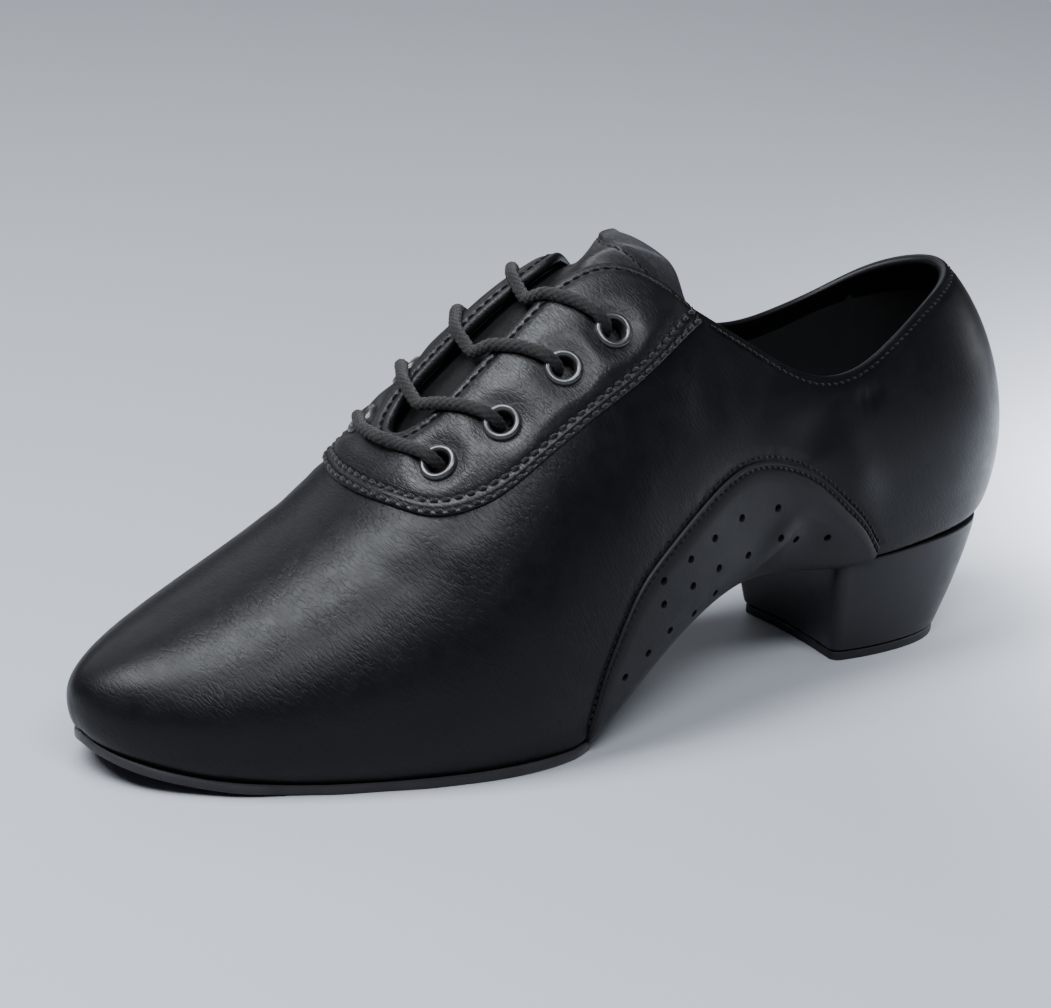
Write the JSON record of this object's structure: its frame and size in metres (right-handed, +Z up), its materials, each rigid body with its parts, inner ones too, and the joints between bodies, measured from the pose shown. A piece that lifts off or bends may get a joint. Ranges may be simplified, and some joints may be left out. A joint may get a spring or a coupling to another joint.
{
  "type": "ballroom dance shoe",
  "caption": "Left lace-up ballroom dance shoe: soft black leather upper open at the collar, perforated arch panels, thin suede sole and a low covered heel; worn for dancing.",
  "frame": {"origin": "on the floor under the middle of the shoe's length and width", "axes": "+X to the toe, +Y to the outer side of the left shoe, +Z up"},
  "size_m": [0.2865, 0.0979, 0.1288],
  "materials": {
    "black_leather": "satin",
    "perforated_leather": "matte",
    "tongue_leather": "satin",
    "insole_lining": "matte",
    "sole_suede": "suede",
    "heel_leather": "satin",
    "tip_rubber": "matte",
    "eyelet_enamel": "gloss",
    "lace_cord": "matte"
  },
  "bodies": {
    "root": {"upper": "black_leather", "lace_facing": "black_leather", "arch_panel_outer": "perforated_leather", "arch_panel_inner": "perforated_leather", "tongue": "tongue_leather", "insole": "insole_lining", "outsole": "sole_suede", "heel_block": "heel_leather", "heel_tip": "tip_rubber", "eyelet_outer_1": "eyelet_enamel", "eyelet_outer_2": "eyelet_enamel", "eyelet_outer_3": "eyelet_enamel", "eyelet_outer_4": "eyelet_enamel", "eyelet_inner_1": "eyelet_enamel", "eyelet_inner_2": "eyelet_enamel", "eyelet_inner_3": "eyelet_enamel", "eyelet_inner_4": "eyelet_enamel", "lace_bar_1": "lace_cord", "lace_bar_2": "lace_cord", "lace_bar_3": "lace_cord", "lace_bar_4": "lace_cord"}
  },
  "joints": []
}
